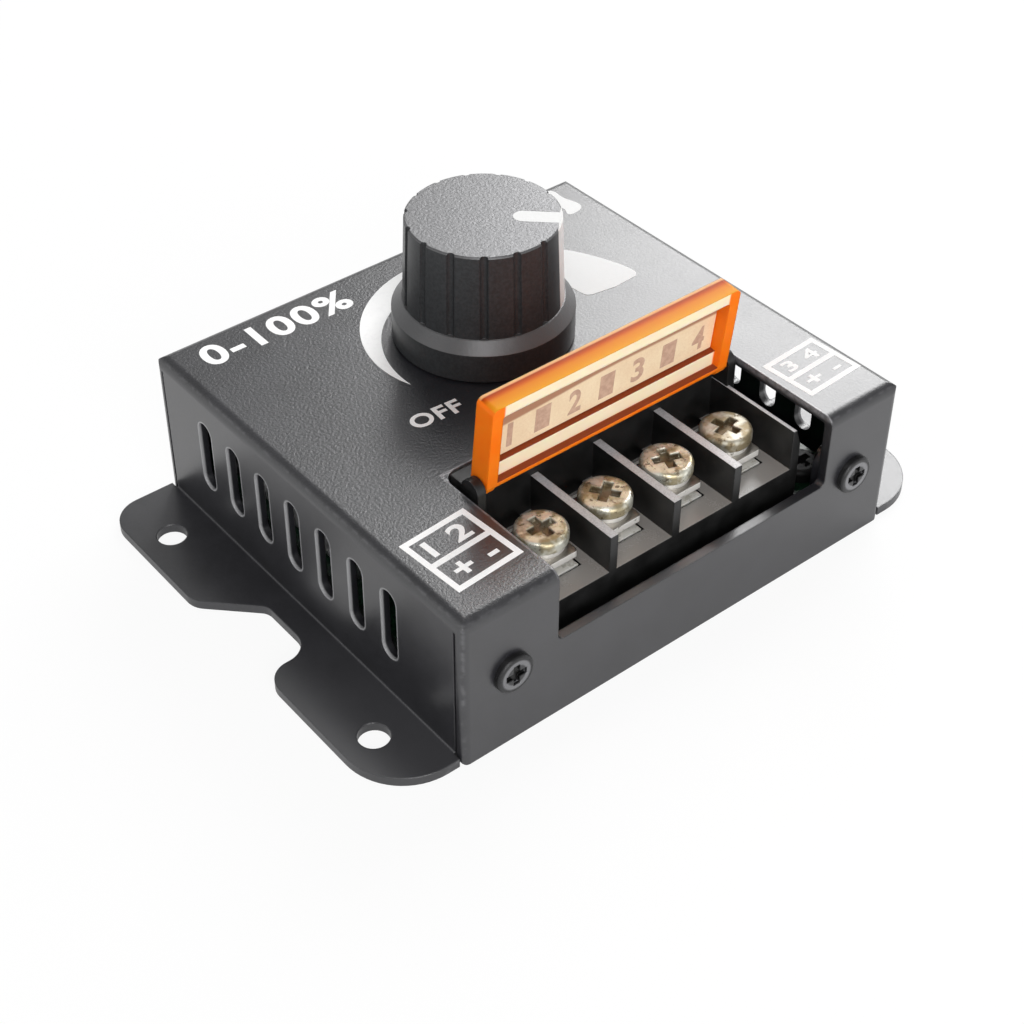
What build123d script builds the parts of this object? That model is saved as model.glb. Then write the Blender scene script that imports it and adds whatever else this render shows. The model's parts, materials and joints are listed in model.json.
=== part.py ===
from build123d import *
import math
import os

# Low-voltage knob dimmer: folded sheet case, barrier terminals under a flip cover, potentiometer.
# Millimetres. Origin under the middle of the case, +X along the terminal face, terminals at -Y, +Z up.

# Folded case
case_width = 66.0  # over the side walls
case_depth = 60.6  # over the front and back panels
case_height = 21.2  # underside to top face
sheet = 1.2  # housing sheet thickness
bend_inside = 0.2  # inside radius of every bend
seam = 0.3  # open gap along a folded corner
panel_corner = 0.6  # rounded bottom corners of the front and back panels
case_corner = 1.0  # eased upright corners of the box

# Mounting flanges
flange_reach = 9.8
flange_length = 59.8
flange_front_corner = 8.0
flange_back_corner = 4.2
mount_spacing_x = 77.0
mount_spacing_y = 42.6
mount_hole = 3.8
notch_depth = 6.5
notch_front = -5.9  # square front side of the notch
notch_back = 3.1  # where the sloping back side leaves the notch floor
notch_front_corner = 3.0
notch_front_lip = 3.0
notch_back_corner = 2.0
notch_back_lip = 3.0

# Side vents
vent_count = 7
vent_pitch = 6.2
vent_width = 2.8
vent_length = 10.0
vent_mid_y = 1.3
vent_mid_z = 11.8

# Base plate and case screws
base_sheet = 1.2
base_gap = 0.3
lug_width = 9.0
lug_height = 14.6
lug_relief = 0.8
lug_corner = 2.0
case_screw_inset = 6.7  # from the side wall's face
case_screw_z = 10.8
case_screw_length = 5.0
case_head = 5.0
case_head_height = 0.85
case_head_round = 0.3
pan_head = 5.2
pan_height = 1.6
pan_round = 0.7
small_thread = 3.0
thread_clearance = 0.05
hole_clearance = 0.2
thread_tip = 0.35
recess_span = 0.56  # cross recess as shares of the screw head
recess_width = 0.18
recess_depth = 0.5

# Board stack
insulation = 0.3
standoff_height = 3.3
standoff_diameter = 5.0
board_thickness = 1.6
board_side_gap = 1.5
board_end_gap = 1.8
board_hole_inset = 4.0  # from the board's side edges
board_hole_end_inset = 5.0  # from the board's front and back edges

# Terminal block
block_x = 0.5
block_inset = 3.3  # front of the block behind the front panel's face
terminal_count = 4
terminal_pitch = 9.5
barrier = 1.1
end_wall = 1.3
end_wall_edge = 0.5  # end wall's width along its top
end_wall_taper = 2.4  # height over which the outside leans in
block_depth = 16.2
back_wall = 2.4
bay_floor = 6.9  # heights above the board
seat_depth = 1.0  # contact let into the bay's level floor
seat_margin = 0.25
barrier_height = 12.0
end_wall_height = 12.55
hinge_height = 15.43
ear_width = 1.2
ear_radius = 1.45
ear_foot = 3.0
cutout_gap_left = 0.55
cutout_gap_right = 1.35
cutout_gap_back = 1.0
cutout_ledge = 11.2
cutout_back_corner = 2.0
cutout_foot_corner = 0.8

# Terminal metalwork
screw_setback = 6.9  # screw axis behind the block's front
contact_width = 4.8
contact_thickness = 1.0
contact_overhang = 3.7  # contact front beyond the screw axis
contact_tail = 5.6  # contact back behind the screw axis
leg_width = 3.0
leg_thickness = 1.0
leg_below_board = 1.2
clamp_width = 5.0
clamp_length = 7.0
clamp_thickness = 0.9
clamp_corner = 0.4
clamp_lift = 1.05  # clamp held clear of the contact, ready for a wire
lock_washer = 5.6
lock_thickness = 1.0
lock_split = 0.5
terminal_thread = 3.5
terminal_head = 6.4
terminal_head_height = 1.5
terminal_head_round = 0.6
terminal_screw_length = 7.2
recess_turn = 35.0  # each recess stands this much round from the last
bore_clearance = 0.5

# Flip cover, stood open on its hinge
cover_angle = 84.0  # from lying shut over the bays
cover_height = 11.95
cover_depth = 2.85
cover_plate = 1.0
cover_rim = 1.5  # rim width along the top and ends
cover_lip = 0.55  # thin lip along the foot
ledge_height = 2.6
ledge_depth = 0.95
cover_end_gap = 0.2
hinge_drop = 0.2  # lower edge of the cover above the hinge axis
hinge_back = 1.6  # cover's outer face behind the hinge axis
hinge_forward = 1.05  # hinge axis in front of the block's back wall
hinge_pin = 1.5
hinge_pin_length = 1.0
hinge_pin_end = 0.1  # pin's end short of the hole's floor
hinge_running = 0.05
hinge_lug = 1.3
hinge_lug_wall = 0.3
stop_gap = 0.05
cover_corner = 0.8
cover_inner_corner = 0.4
label_thickness = 0.25
label_margin = 0.2

# Knob
knob_x = 1.5
knob_from_back = 21.1
knob_lift = 0.3
knob_height = 16.4
knob_top = 18.9
knob_base = 19.8
knob_skirt = 22.6
skirt_height = 3.8
cone_height = 1.4
knob_edge = 0.2
knob_wall = 1.6
knob_crown = 2.0
hub_diameter = 10.4
flute_count = 15  # pitches round the wall; the pointer stripe takes two
flute_radius = 0.5
flute_depth = 0.42
pointer_angle = -44.0
pointer_width = 2.3
pointer_stripe = 5.2
pointer_start = 4.7
pointer_depth = 0.4

# Potentiometer
pot_can = 16.5
pot_can_height = 6.7
pot_can_wall = 0.5
wafer_thickness = 1.0
wafer_clearance = 0.4
wafer_tongue = 11.6
wafer_tongue_width = 13.0
bushing_flange = 13.0
bushing_flange_thickness = 1.0
bushing_thread = 7.0
bushing_length = 6.5
shaft_diameter = 6.0
shaft_running = 0.05
shaft_fit = 0.02
shaft_end_gap = 1.2  # shaft tip below the roof of the knob's bore
wiper_diameter = 12.0
wiper_thickness = 1.2
wiper_gap = 0.3
pot_washer_diameter = 12.0
pot_washer_thickness = 0.5
pot_nut_flats = 10.0
pot_nut_thickness = 2.0
pot_pin_pitch = 5.0
pot_pin_width = 1.2
pot_pin_thickness = 0.5

# Power stage and board parts
spreader_thickness = 2.0
spreader_corner = 1.2
spreader_wall_gap = 2.9  # behind the vented left wall
spreader_foot = 19.0
spreader_length = 23.0
spreader_screw_gap = 0.9  # spreader's back end to the board screw heads
spreader_headroom = 2.6
pad_thickness = 0.3
transistor_count = 2
transistor_pitch = 11.6
transistor_width = 10.0
transistor_body = 9.2
transistor_height = 4.5
transistor_tab = 6.3
tab_thickness = 1.3
tab_back_gap = 0.6
lead_width = 0.9
lead_thickness = 0.5
lead_reach = 2.4
lead_pitch = 2.54
lead_below_board = 1.0
capacitor_count = 2
capacitor_diameter = 10.0
capacitor_headroom = 1.2
capacitor_screw_gap = 0.4  # to the board screw heads
capacitor_pitch = 13.0
capacitor_front_gap = 0.9  # to the resistors in front
capacitor_groove = 0.5
capacitor_neck = 1.5
chip_length = 5.0
chip_width = 4.0
chip_height = 1.6
chip_edge = 0.3
chip_notch = 0.8
regulator_diameter = 4.8
regulator_height = 4.8
regulator_across_flat = 3.8
diode_length = 7.0
diode_diameter = 4.0
resistor_columns = 2
resistor_rows = 2
resistor_length = 6.2
resistor_diameter = 2.3
resistor_pitch = 3.4
resistor_offset = 9.3  # left ends of the first column, left of the capacitors' middle
back_row_inset = 4.5  # small parts behind the potentiometer, from the board's back edge

# Levels and planes worked out from the sizes above
half_width = case_width / 2
half_depth = case_depth / 2
bend_outside = sheet + bend_inside
top_inside = case_height - sheet
panel_inside = half_depth - sheet
wall_inside = half_width - sheet
case_screw_x = half_width - case_screw_inset
board_under = base_sheet + standoff_height
board_top = board_under + board_thickness
board_half_x = wall_inside - board_side_gap
board_half_y = panel_inside - board_end_gap
hole_x = board_half_x - board_hole_inset
hole_y = board_half_y - board_hole_end_inset

bay_width = terminal_pitch - barrier
block_half = (terminal_count * terminal_pitch - barrier) / 2 + end_wall
block_left = block_x - block_half
block_right = block_x + block_half
block_front = -half_depth + block_inset
block_back = block_front + block_depth
wall_front = block_back - back_wall
floor_z = board_top + bay_floor
barrier_z = board_top + barrier_height
end_wall_z = board_top + end_wall_height
hinge_z = board_top + hinge_height
hinge_y = wall_front - hinge_forward
cover_tilt = math.radians(cover_angle)
stop_rise = (hinge_drop + hinge_forward * math.cos(cover_tilt)) / math.sin(cover_tilt)
back_wall_z = hinge_z + stop_rise - stop_gap
hinge_lug_radius = hinge_pin / 2 + hinge_lug_wall
screw_y = block_front + screw_setback
bay_xs = [block_x + (i - (terminal_count - 1) / 2) * terminal_pitch for i in range(terminal_count)]
seat_z = floor_z - seat_depth
contact_z = seat_z + contact_thickness
clamp_z = contact_z + clamp_lift
lock_z = clamp_z + clamp_thickness
head_z = lock_z + lock_thickness

cutout_left = block_left - cutout_gap_left
cutout_right = block_right + cutout_gap_right
cutout_back = block_back + cutout_gap_back

knob_y = half_depth - knob_from_back
knob_z = case_height + knob_lift
wafer_z = top_inside - bushing_flange_thickness - wafer_thickness
can_z = wafer_z - pot_can_height
bushing_z = top_inside + bushing_length
hub_z = bushing_z + knob_lift + bend_inside
crown_z = knob_z + knob_height - knob_crown

spreader_x = -wall_inside + spreader_wall_gap
spreader_back = hole_y - pan_head / 2 - spreader_screw_gap
spreader_mid_y = spreader_back - spreader_length / 2
spreader_z = board_top + spreader_thickness
pad_z = spreader_z + pad_thickness
capacitor_x = hole_x - pan_head / 2 - capacitor_screw_gap - capacitor_diameter / 2
resistor_front = block_back + resistor_pitch / 2 + resistor_diameter / 2
resistor_back = resistor_front + (resistor_rows - 1) * resistor_pitch + resistor_diameter / 2
capacitor_y = resistor_back + capacitor_front_gap + capacitor_diameter / 2
cut = 1.0  # how far a cutting tool runs past the face it opens


def span(x0, x1, y0, y1, z0, z1):
    return Pos((x0 + x1) / 2, (y0 + y1) / 2, (z0 + z1) / 2) * Box(x1 - x0, y1 - y0, z1 - z0)


def upright(x, y, z0, z1, diameter):
    return Pos(x, y, (z0 + z1) / 2) * Cylinder(diameter / 2, z1 - z0)


def cross_rod(x, y0, y1, z, diameter):
    return Pos(x, (y0 + y1) / 2, z) * Rot(90, 0, 0) * Cylinder(diameter / 2, abs(y1 - y0))


def side_rod(x0, x1, y, z, diameter):
    return Pos((x0 + x1) / 2, y, z) * Rot(0, 90, 0) * Cylinder(diameter / 2, abs(x1 - x0))


def rounded_at(sketch, point, radius):
    corner = sketch.vertices().sort_by_distance(point)[0]
    return fillet(corner, radius)


def revolved(points):
    profile = Plane.XZ * make_face(Polyline(*points, close=True))
    return revolve(profile, Axis.Z)


def screw(head, height, rounding, thread, length):
    # Head stands on z = 0, thread runs down; a cross recess is sunk in the rounded head.
    blank = Pos(0, 0, height / 2) * Cylinder(head / 2, height)
    blank = fillet(blank.faces().sort_by(Axis.Z)[-1].edges(), rounding)
    wing = Pos(0, 0, height) * Box(head * recess_span, head * recess_width, 2 * height * recess_depth)
    blank -= wing + Rot(0, 0, 90) * wing
    shank = Pos(0, 0, -length / 2) * Cylinder(thread / 2, length)
    shank = chamfer(shank.faces().sort_by(Axis.Z)[0].edges(), thread_tip)
    return blank + shank


# Housing
def flange_plan():
    root = half_width + bend_inside
    edge = half_width + flange_reach
    floor = edge - notch_depth
    half = flange_length / 2
    slope_end = notch_back + notch_depth
    rounded = [
        ((edge, half), flange_back_corner),
        ((edge, slope_end), notch_back_lip),
        ((floor, notch_back), notch_back_corner),
        ((floor, notch_front), notch_front_corner),
        ((edge, notch_front), notch_front_lip),
        ((edge, -half), flange_front_corner),
    ]
    corners = [(root, half)] + [corner for corner, radius in rounded] + [(root, -half)]
    plan = make_face(Polyline(*corners, close=True))
    for corner, radius in rounded:
        plan = rounded_at(plan, corner, radius)
    return plan


def flange_bend():
    # Section of the wall's foot, turned outwards through a right angle.
    centre_x = half_width + bend_inside
    centre_z = bend_outside
    rise = centre_z + sheet
    mid = math.sqrt(0.5)
    outline = [
        Line((half_width, rise), (half_width, centre_z)),
        ThreePointArc(
            (half_width, centre_z),
            (centre_x - bend_inside * mid, centre_z - bend_inside * mid),
            (centre_x, sheet),
        ),
        Line((centre_x, sheet), (centre_x, 0)),
        ThreePointArc(
            (centre_x, 0),
            (centre_x - bend_outside * mid, centre_z - bend_outside * mid),
            (wall_inside, centre_z),
        ),
        Line((wall_inside, centre_z), (wall_inside, rise)),
        Line((wall_inside, rise), (half_width, rise)),
    ]
    section = Plane.XZ * make_face(outline)
    return extrude(section, amount=panel_inside - seam, both=True)


def vent_row():
    first = vent_mid_y - (vent_count - 1) / 2 * vent_pitch
    slots = Sketch()
    for i in range(vent_count):
        slots += Pos(first + i * vent_pitch, vent_mid_z) * SlotOverall(vent_length, vent_width, rotation=90)
    return extrude(Plane.YZ * slots, amount=half_width + cut, both=True)


def terminal_cutout():
    top = span(cutout_left, cutout_right, -case_depth, cutout_back, top_inside - cut, case_height + cut)
    top = fillet(top.edges().filter_by(Axis.Z).group_by(Axis.Y)[-1], cutout_back_corner)
    front_y = -panel_inside + bend_outside
    front = span(cutout_left, cutout_right, -case_depth, front_y, cutout_ledge, case_height + cut)
    front = fillet(front.edges().filter_by(Axis.Y).group_by(Axis.Z)[0], cutout_foot_corner)
    return top + front


def make_housing():
    outer = span(-half_width, half_width, -half_depth, half_depth, 0, case_height)
    outer = fillet(outer.faces().sort_by(Axis.Z)[-1].edges(), bend_outside)
    inner = span(-wall_inside, wall_inside, -panel_inside, panel_inside, -cut, top_inside)
    inner = fillet(inner.faces().sort_by(Axis.Z)[-1].edges(), bend_inside)
    shell = outer - inner
    seam_top = case_height - bend_outside - seam
    for side in (-1, 1):
        wall = sorted((side * wall_inside, side * (half_width + cut)))
        shell -= span(*wall, seam - panel_inside, panel_inside - seam, -cut, bend_outside)
        for end in (-1, 1):
            gap = sorted((end * panel_inside, end * (panel_inside - seam)))
            shell -= span(*wall, *gap, -cut, seam_top)
    feet = [
        edge
        for edge in shell.edges().filter_by(Axis.Y)
        if edge.center().Z < seam and abs(edge.center().X) > half_width - seam
    ]
    shell = fillet(feet, panel_corner)
    shell &= extrude(RectangleRounded(case_width, case_depth, case_corner), amount=case_height)
    right = flange_bend() + extrude(flange_plan(), amount=sheet)
    shell += right + mirror(right, Plane.YZ)
    shell -= vent_row()
    shell -= terminal_cutout()
    shell -= upright(knob_x, knob_y, top_inside - cut, case_height + cut, bushing_thread + hole_clearance)
    screw_hole = small_thread + 2 * hole_clearance
    for x in (-case_screw_x, case_screw_x):
        shell -= cross_rod(x, -half_depth - cut, half_depth + cut, case_screw_z, screw_hole)
    for x in (-mount_spacing_x / 2, mount_spacing_x / 2):
        for y in (-mount_spacing_y / 2, mount_spacing_y / 2):
            shell -= upright(x, y, -cut, sheet + cut, mount_hole)
    return shell


# Base plate
def base_lug():
    # Section of the upturned lug whose outer face lies against the panel.
    radius_out = base_sheet + bend_inside
    face = panel_inside
    centre_y = face - radius_out
    inner = face - base_sheet
    root = centre_y - lug_relief
    mid = math.sqrt(0.5)
    outline = [
        Line((root, 0), (centre_y, 0)),
        ThreePointArc(
            (centre_y, 0), (centre_y + radius_out * mid, radius_out * (1 - mid)), (face, radius_out)
        ),
        Line((face, radius_out), (face, lug_height)),
        Line((face, lug_height), (inner, lug_height)),
        Line((inner, lug_height), (inner, radius_out)),
        ThreePointArc(
            (inner, radius_out),
            (centre_y + bend_inside * mid, radius_out - bend_inside * mid),
            (centre_y, base_sheet),
        ),
        Line((centre_y, base_sheet), (root, base_sheet)),
        Line((root, base_sheet), (root, 0)),
    ]
    lug = extrude(Plane.YZ * make_face(outline), amount=lug_width / 2, both=True)
    return fillet(lug.edges().filter_by(Axis.Y).group_by(Axis.Z)[-1], lug_corner)


def make_base_plate():
    half_x = wall_inside - base_gap
    half_y = panel_inside - base_gap
    plate = span(-half_x, half_x, -half_y, half_y, 0, base_sheet)
    slot_half = lug_width / 2 + lug_relief
    slot_depth = panel_inside - base_sheet - bend_inside - lug_relief / 2
    lug = base_lug()
    for x in (-case_screw_x, case_screw_x):
        low = max(-half_x - cut, x - slot_half)
        high = min(half_x + cut, x + slot_half)
        plate -= span(low, high, slot_depth, half_y + cut, -cut, base_sheet + cut)
        plate -= span(low, high, -half_y - cut, -slot_depth, -cut, base_sheet + cut)
        plate += Pos(x, 0, 0) * lug
        plate += Pos(x, 0, 0) * mirror(lug, Plane.XZ)
    for x in (-case_screw_x, case_screw_x):
        hole = small_thread + 2 * thread_clearance
        plate -= cross_rod(x, -half_depth, half_depth, case_screw_z, hole)
    for x, y in board_holes():
        plate -= upright(x, y, -cut, base_sheet + cut, small_thread + 2 * thread_clearance)
    return plate


def make_case_screws():
    fixing = screw(case_head, case_head_height, case_head_round, small_thread, case_screw_length)
    front = Pos(0, -half_depth, case_screw_z) * Rot(90, 0, 0) * fixing
    back = mirror(front, Plane.XZ)
    return [Pos(x, 0, 0) * each for x in (-case_screw_x, case_screw_x) for each in (front, back)]


# Board stack
def board_holes():
    return [(x, y) for x in (-hole_x, hole_x) for y in (-hole_y, hole_y)]


def make_insulating_sheet():
    low = base_sheet
    film = span(-board_half_x, board_half_x, -board_half_y, board_half_y, low, low + insulation)
    for x, y in board_holes():
        film -= upright(x, y, low - cut, low + insulation + cut, standoff_diameter + 2 * hole_clearance)
    return film


def make_standoffs():
    bore = small_thread + 2 * thread_clearance
    return [
        upright(x, y, base_sheet, board_under, standoff_diameter)
        - upright(x, y, base_sheet - cut, board_under + cut, bore)
        for x, y in board_holes()
    ]


def make_circuit_board():
    board = span(-board_half_x, board_half_x, -board_half_y, board_half_y, board_under, board_top)
    low = board_under - cut
    high = board_top + cut
    for x, y in board_holes():
        board -= upright(x, y, low, high, small_thread + 2 * hole_clearance)
    gap = hole_clearance
    for x in bay_xs:
        board -= span(*leg_x(x, gap), *leg_y(gap), low, high)
    for x, y in pot_pins():
        board -= upright(x, y, low, high, pot_pin_width + 2 * gap)
    for i in range(transistor_count):
        for x, y in transistor_leads(i):
            board -= upright(x, y, low, high, lead_width + 2 * gap)
        x, y = transistor_screw(i)
        board -= upright(x, y, low, high, small_thread + 2 * gap)
    return board


def make_board_screws():
    length = board_top - base_sheet
    fixing = screw(pan_head, pan_height, pan_round, small_thread, length)
    return [Pos(x, y, board_top) * fixing for x, y in board_holes()]


# Terminal block
def leg_x(x, gap):
    return x - leg_width / 2 - gap, x + leg_width / 2 + gap


def leg_y(gap):
    back = screw_y + contact_tail
    return back - leg_thickness - gap, back + gap


def block_ear(side):
    outer = block_x + side * block_half
    inner = outer - side * ear_width
    low, high = sorted((outer, inner))
    rise = end_wall_z - ear_foot
    ear = side_rod(low, high, hinge_y, hinge_z, 2 * ear_radius)
    ear += span(low, high, hinge_y - ear_radius, wall_front, rise, hinge_z)
    pin = hinge_pin + 2 * hinge_running
    depth = hinge_pin_length - cover_end_gap + hinge_pin_end
    hole = sorted((inner - side * cut, inner + side * depth))
    return ear - side_rod(*hole, hinge_y, hinge_z, pin)


def hinge_pocket(side):
    # Room for the cover's hinge lug to swing in front of the back wall.
    ear_face = block_x + side * (block_half - ear_width)
    inner = ear_face - side * (hinge_lug + 2 * cover_end_gap)
    low, high = sorted((ear_face, inner))
    reach = hinge_lug_radius + cover_end_gap
    return span(low, high, hinge_y - reach, hinge_y + reach, hinge_z - reach, back_wall_z + cut)


def terminal_bay():
    # One bay, open at the front: a level floor for the wire with the contact's seat let into it.
    half = bay_width / 2
    seat_half = contact_width / 2 + seat_margin
    seat_front = screw_y - contact_overhang - seat_margin
    room = span(-half, half, block_front - cut, wall_front, floor_z, back_wall_z + cut)
    return room + span(-seat_half, seat_half, seat_front, wall_front, seat_z, floor_z + cut)


def end_wall_lean(side):
    # Wedge taken off the outside of an end wall, leaving a narrow top edge.
    outer = block_x + side * block_half
    edge = outer - side * (end_wall - end_wall_edge)
    lean = (end_wall - end_wall_edge) / end_wall_taper
    corners = [
        (outer + side * lean * cut, end_wall_z - end_wall_taper - cut),
        (edge - side * lean * cut, end_wall_z + cut),
        (outer + side * lean * cut, end_wall_z + cut),
    ]
    wedge = Plane.XZ * make_face(Polyline(*corners, close=True))
    return Pos(0, wall_front, 0) * extrude(wedge, amount=wall_front - block_front + cut)


def make_terminal_block():
    left, right = block_left, block_right
    block = span(left, right, block_front, block_back, board_top, barrier_z)
    block += span(left, right, wall_front, block_back, board_top, back_wall_z)
    for side in (-1, 1):
        outer = block_x + side * block_half
        low, high = sorted((outer, outer - side * end_wall))
        block += span(low, high, block_front, block_back, board_top, end_wall_z)
        block -= end_wall_lean(side)
        block -= hinge_pocket(side)
        block += block_ear(side)
    bay = terminal_bay()
    bore = terminal_thread + 2 * bore_clearance
    for x in bay_xs:
        block -= Pos(x, 0, 0) * bay
        block -= upright(x, screw_y, head_z - terminal_screw_length - cut, seat_z + cut, bore)
        block -= span(*leg_x(x, hole_clearance), *leg_y(hole_clearance), board_top - cut, seat_z + cut)
    return block


def make_terminal_contact(x):
    half = contact_width / 2
    front = screw_y - contact_overhang
    plate = span(x - half, x + half, front, screw_y + contact_tail, seat_z, contact_z)
    leg = span(*leg_x(x, 0), *leg_y(0), board_under - leg_below_board, contact_z)
    hole = upright(x, screw_y, seat_z - cut, contact_z + cut, terminal_thread + 2 * thread_clearance)
    return plate + leg - hole


def make_clamp_washers():
    washers = []
    for x in bay_xs:
        half_x = clamp_width / 2
        half_y = clamp_length / 2
        plate = span(x - half_x, x + half_x, screw_y - half_y, screw_y + half_y, clamp_z, lock_z)
        plate = fillet(plate.edges().filter_by(Axis.Z), clamp_corner)
        bore = terminal_thread + 2 * hole_clearance
        washers.append(plate - upright(x, screw_y, clamp_z - cut, lock_z + cut, bore))
    return washers


def make_lock_washers():
    rings = []
    for x in bay_xs:
        ring = upright(x, screw_y, lock_z, head_z, lock_washer)
        ring -= upright(x, screw_y, lock_z - cut, head_z + cut, terminal_thread + 2 * hole_clearance)
        half = lock_split / 2
        split = span(x - half, x + half, screw_y, screw_y + lock_washer, lock_z - cut, head_z + cut)
        rings.append(ring - split)
    return rings


def make_terminal_screws():
    binding = screw(
        terminal_head, terminal_head_height, terminal_head_round, terminal_thread, terminal_screw_length
    )
    return [
        Pos(x, screw_y, head_z) * Rot(0, 0, recess_turn * i) * binding for i, x in enumerate(bay_xs)
    ]


# Flip cover, drawn about its hinge axis: x along the axis, y up the cover, z out of its open side
def hinge_plane():
    face = (0, -math.sin(cover_tilt), -math.cos(cover_tilt))
    return Plane(origin=(block_x, hinge_y, hinge_z), x_dir=(1, 0, 0), z_dir=face)


def cover_half():
    return block_half - ear_width - cover_end_gap


def make_terminal_cover():
    half = cover_half()
    back = -hinge_back
    rim = back + cover_depth
    foot = hinge_drop
    head = hinge_drop + cover_height
    tray = span(-half, half, foot, head, back, rim)
    tray = fillet(tray.edges().filter_by(Axis.Z).group_by(Axis.Y)[-1], cover_corner)
    inner = half - cover_rim
    plate = back + cover_plate
    well = span(-inner, inner, foot + cover_lip, head - cover_rim, plate, rim + cut)
    well = fillet(well.edges().filter_by(Axis.Z).group_by(Axis.Y)[-1], cover_inner_corner)
    tray -= well
    tray += span(-half, half, foot, foot + ledge_height, back, plate + ledge_depth)
    for side in (-1, 1):
        low, high = sorted((side * half, side * (half - hinge_lug)))
        tray += side_rod(low, high, 0, 0, 2 * hinge_lug_radius)
        pin = sorted((side * (half - hinge_lug), side * (half + hinge_pin_length)))
        tray += side_rod(*pin, 0, 0, hinge_pin)
    return hinge_plane().location * tray


def make_cover_label():
    half = cover_half() - cover_rim - label_margin
    plate = cover_plate - hinge_back
    low = hinge_drop + ledge_height + label_margin
    high = hinge_drop + cover_height - cover_rim - label_margin
    return hinge_plane().location * span(-half, half, low, high, plate, plate + label_thickness)


# Knob
def knob_outline(inset):
    # Half section of the turned form, drawn in by an inset for the pointer's floor.
    base_r = knob_base / 2 - inset
    top_r = knob_top / 2 - inset
    skirt_r = knob_skirt / 2 - inset
    top_z = knob_z + knob_height - inset
    cone_z = knob_z + skirt_height
    wall_z = cone_z + cone_height
    return [
        (0, knob_z),
        (skirt_r, knob_z),
        (skirt_r, cone_z),
        (base_r + knob_edge / 2, wall_z),
        (base_r, wall_z),
        (top_r, top_z - knob_edge),
        (top_r - knob_edge, top_z),
        (0, top_z),
    ]


def at_knob(shape):
    return Pos(knob_x, knob_y, 0) * shape


def flute_tool():
    wall_z = knob_z + skirt_height + cone_height
    top_z = knob_z + knob_height
    reach = flute_radius - flute_depth
    foot = Vector(knob_base / 2 + reach, 0, wall_z)
    crown = Vector(knob_top / 2 + reach, 0, top_z)
    line = crown - foot
    run = line.length + cut
    plane = Plane(origin=foot, z_dir=line)
    return plane.location * Pos(0, 0, run / 2) * Cylinder(flute_radius, run)


def knob_cavity():
    wall_r = knob_top / 2 - knob_wall
    hollow = upright(0, 0, knob_z - cut, crown_z, 2 * wall_r)
    hub = upright(0, 0, hub_z, crown_z + cut, hub_diameter)
    bore = upright(0, 0, hub_z - cut, crown_z, shaft_diameter + 2 * shaft_fit)
    return hollow - hub + bore


def pointer_blank():
    wall_z = knob_z + skirt_height + cone_height
    top_z = knob_z + knob_height
    low = top_z - pointer_depth
    line = span(pointer_start, knob_skirt, -pointer_width / 2, pointer_width / 2, low, top_z + cut)
    line += upright(pointer_start, 0, low, top_z + cut, pointer_width)
    wall_r = knob_top / 2 - pointer_depth
    half = pointer_stripe / 2
    stripe = span(wall_r, knob_skirt, -half, half, wall_z, top_z + cut)
    tool = Rot(0, 0, pointer_angle) * (line + stripe)
    skin = revolved(knob_outline(0)) - revolved(knob_outline(pointer_depth))
    return skin & tool


def make_knob():
    knob = revolved(knob_outline(0))
    tool = flute_tool()
    step = 360 / flute_count
    knob -= [Rot(0, 0, pointer_angle + (i + 0.5) * step) * tool for i in range(1, flute_count - 1)]
    knob -= knob_cavity()
    knob -= pointer_blank()
    return at_knob(knob)


def make_knob_pointer():
    return at_knob(pointer_blank())


# Potentiometer
def make_pot_shaft():
    low = wafer_z - wiper_gap - 2 * wiper_thickness
    return at_knob(upright(0, 0, low, crown_z - shaft_end_gap, shaft_diameter))


def make_pot_wiper():
    high = wafer_z - wiper_gap
    disc = upright(0, 0, high - wiper_thickness, high, wiper_diameter)
    return at_knob(disc - upright(0, 0, can_z, wafer_z, shaft_diameter + 2 * shaft_fit))


def make_pot_bushing():
    flange = upright(0, 0, top_inside - bushing_flange_thickness, top_inside, bushing_flange)
    neck = upright(0, 0, top_inside - bushing_flange_thickness, bushing_z, bushing_thread)
    neck = chamfer(neck.faces().sort_by(Axis.Z)[-1].edges(), knob_edge)
    bore = upright(0, 0, can_z, bushing_z + cut, shaft_diameter + 2 * shaft_running)
    return at_knob(flange + neck - bore)


def make_pot_washer():
    low = case_height
    high = low + pot_washer_thickness
    ring = upright(0, 0, low, high, pot_washer_diameter)
    return at_knob(ring - upright(0, 0, low - cut, high + cut, bushing_thread + hole_clearance))


def make_pot_nut():
    low = case_height + pot_washer_thickness
    hexagon = RegularPolygon(pot_nut_flats / 2, 6, major_radius=False)
    nut = Pos(0, 0, low) * extrude(hexagon, amount=pot_nut_thickness)
    bore = bushing_thread + 2 * thread_clearance
    return at_knob(nut - upright(0, 0, low - cut, low + pot_nut_thickness + cut, bore))


def make_pot_wafer():
    high = wafer_z + wafer_thickness
    disc = upright(0, 0, wafer_z, high, pot_can)
    half = wafer_tongue_width / 2
    tongue = span(-half, half, -wafer_tongue, 0, wafer_z, high)
    hole = upright(0, 0, wafer_z - cut, high + cut, shaft_diameter + 2 * wafer_clearance)
    wafer = at_knob(disc + tongue - hole)
    for x, y in pot_pins():
        wafer -= pot_pin(x, y, thread_clearance)
    return wafer


def make_pot_can():
    outer = upright(0, 0, can_z, wafer_z, pot_can)
    inner = upright(0, 0, can_z + pot_can_wall, wafer_z + cut, pot_can - 2 * pot_can_wall)
    outer = fillet(outer.faces().sort_by(Axis.Z)[0].edges(), pot_can_wall)
    return at_knob(outer - inner)


def pot_pins():
    y = knob_y - wafer_tongue + pot_pin_width
    return [(knob_x + i * pot_pin_pitch, y) for i in (-1, 0, 1)]


def pot_pin(x, y, gap):
    half_x = pot_pin_width / 2 + gap
    half_y = pot_pin_thickness / 2 + gap
    high = wafer_z + wafer_thickness
    return span(x - half_x, x + half_x, y - half_y, y + half_y, board_under - leg_below_board, high)


def make_pot_terminals():
    return [pot_pin(x, y, 0) for x, y in pot_pins()]


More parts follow.
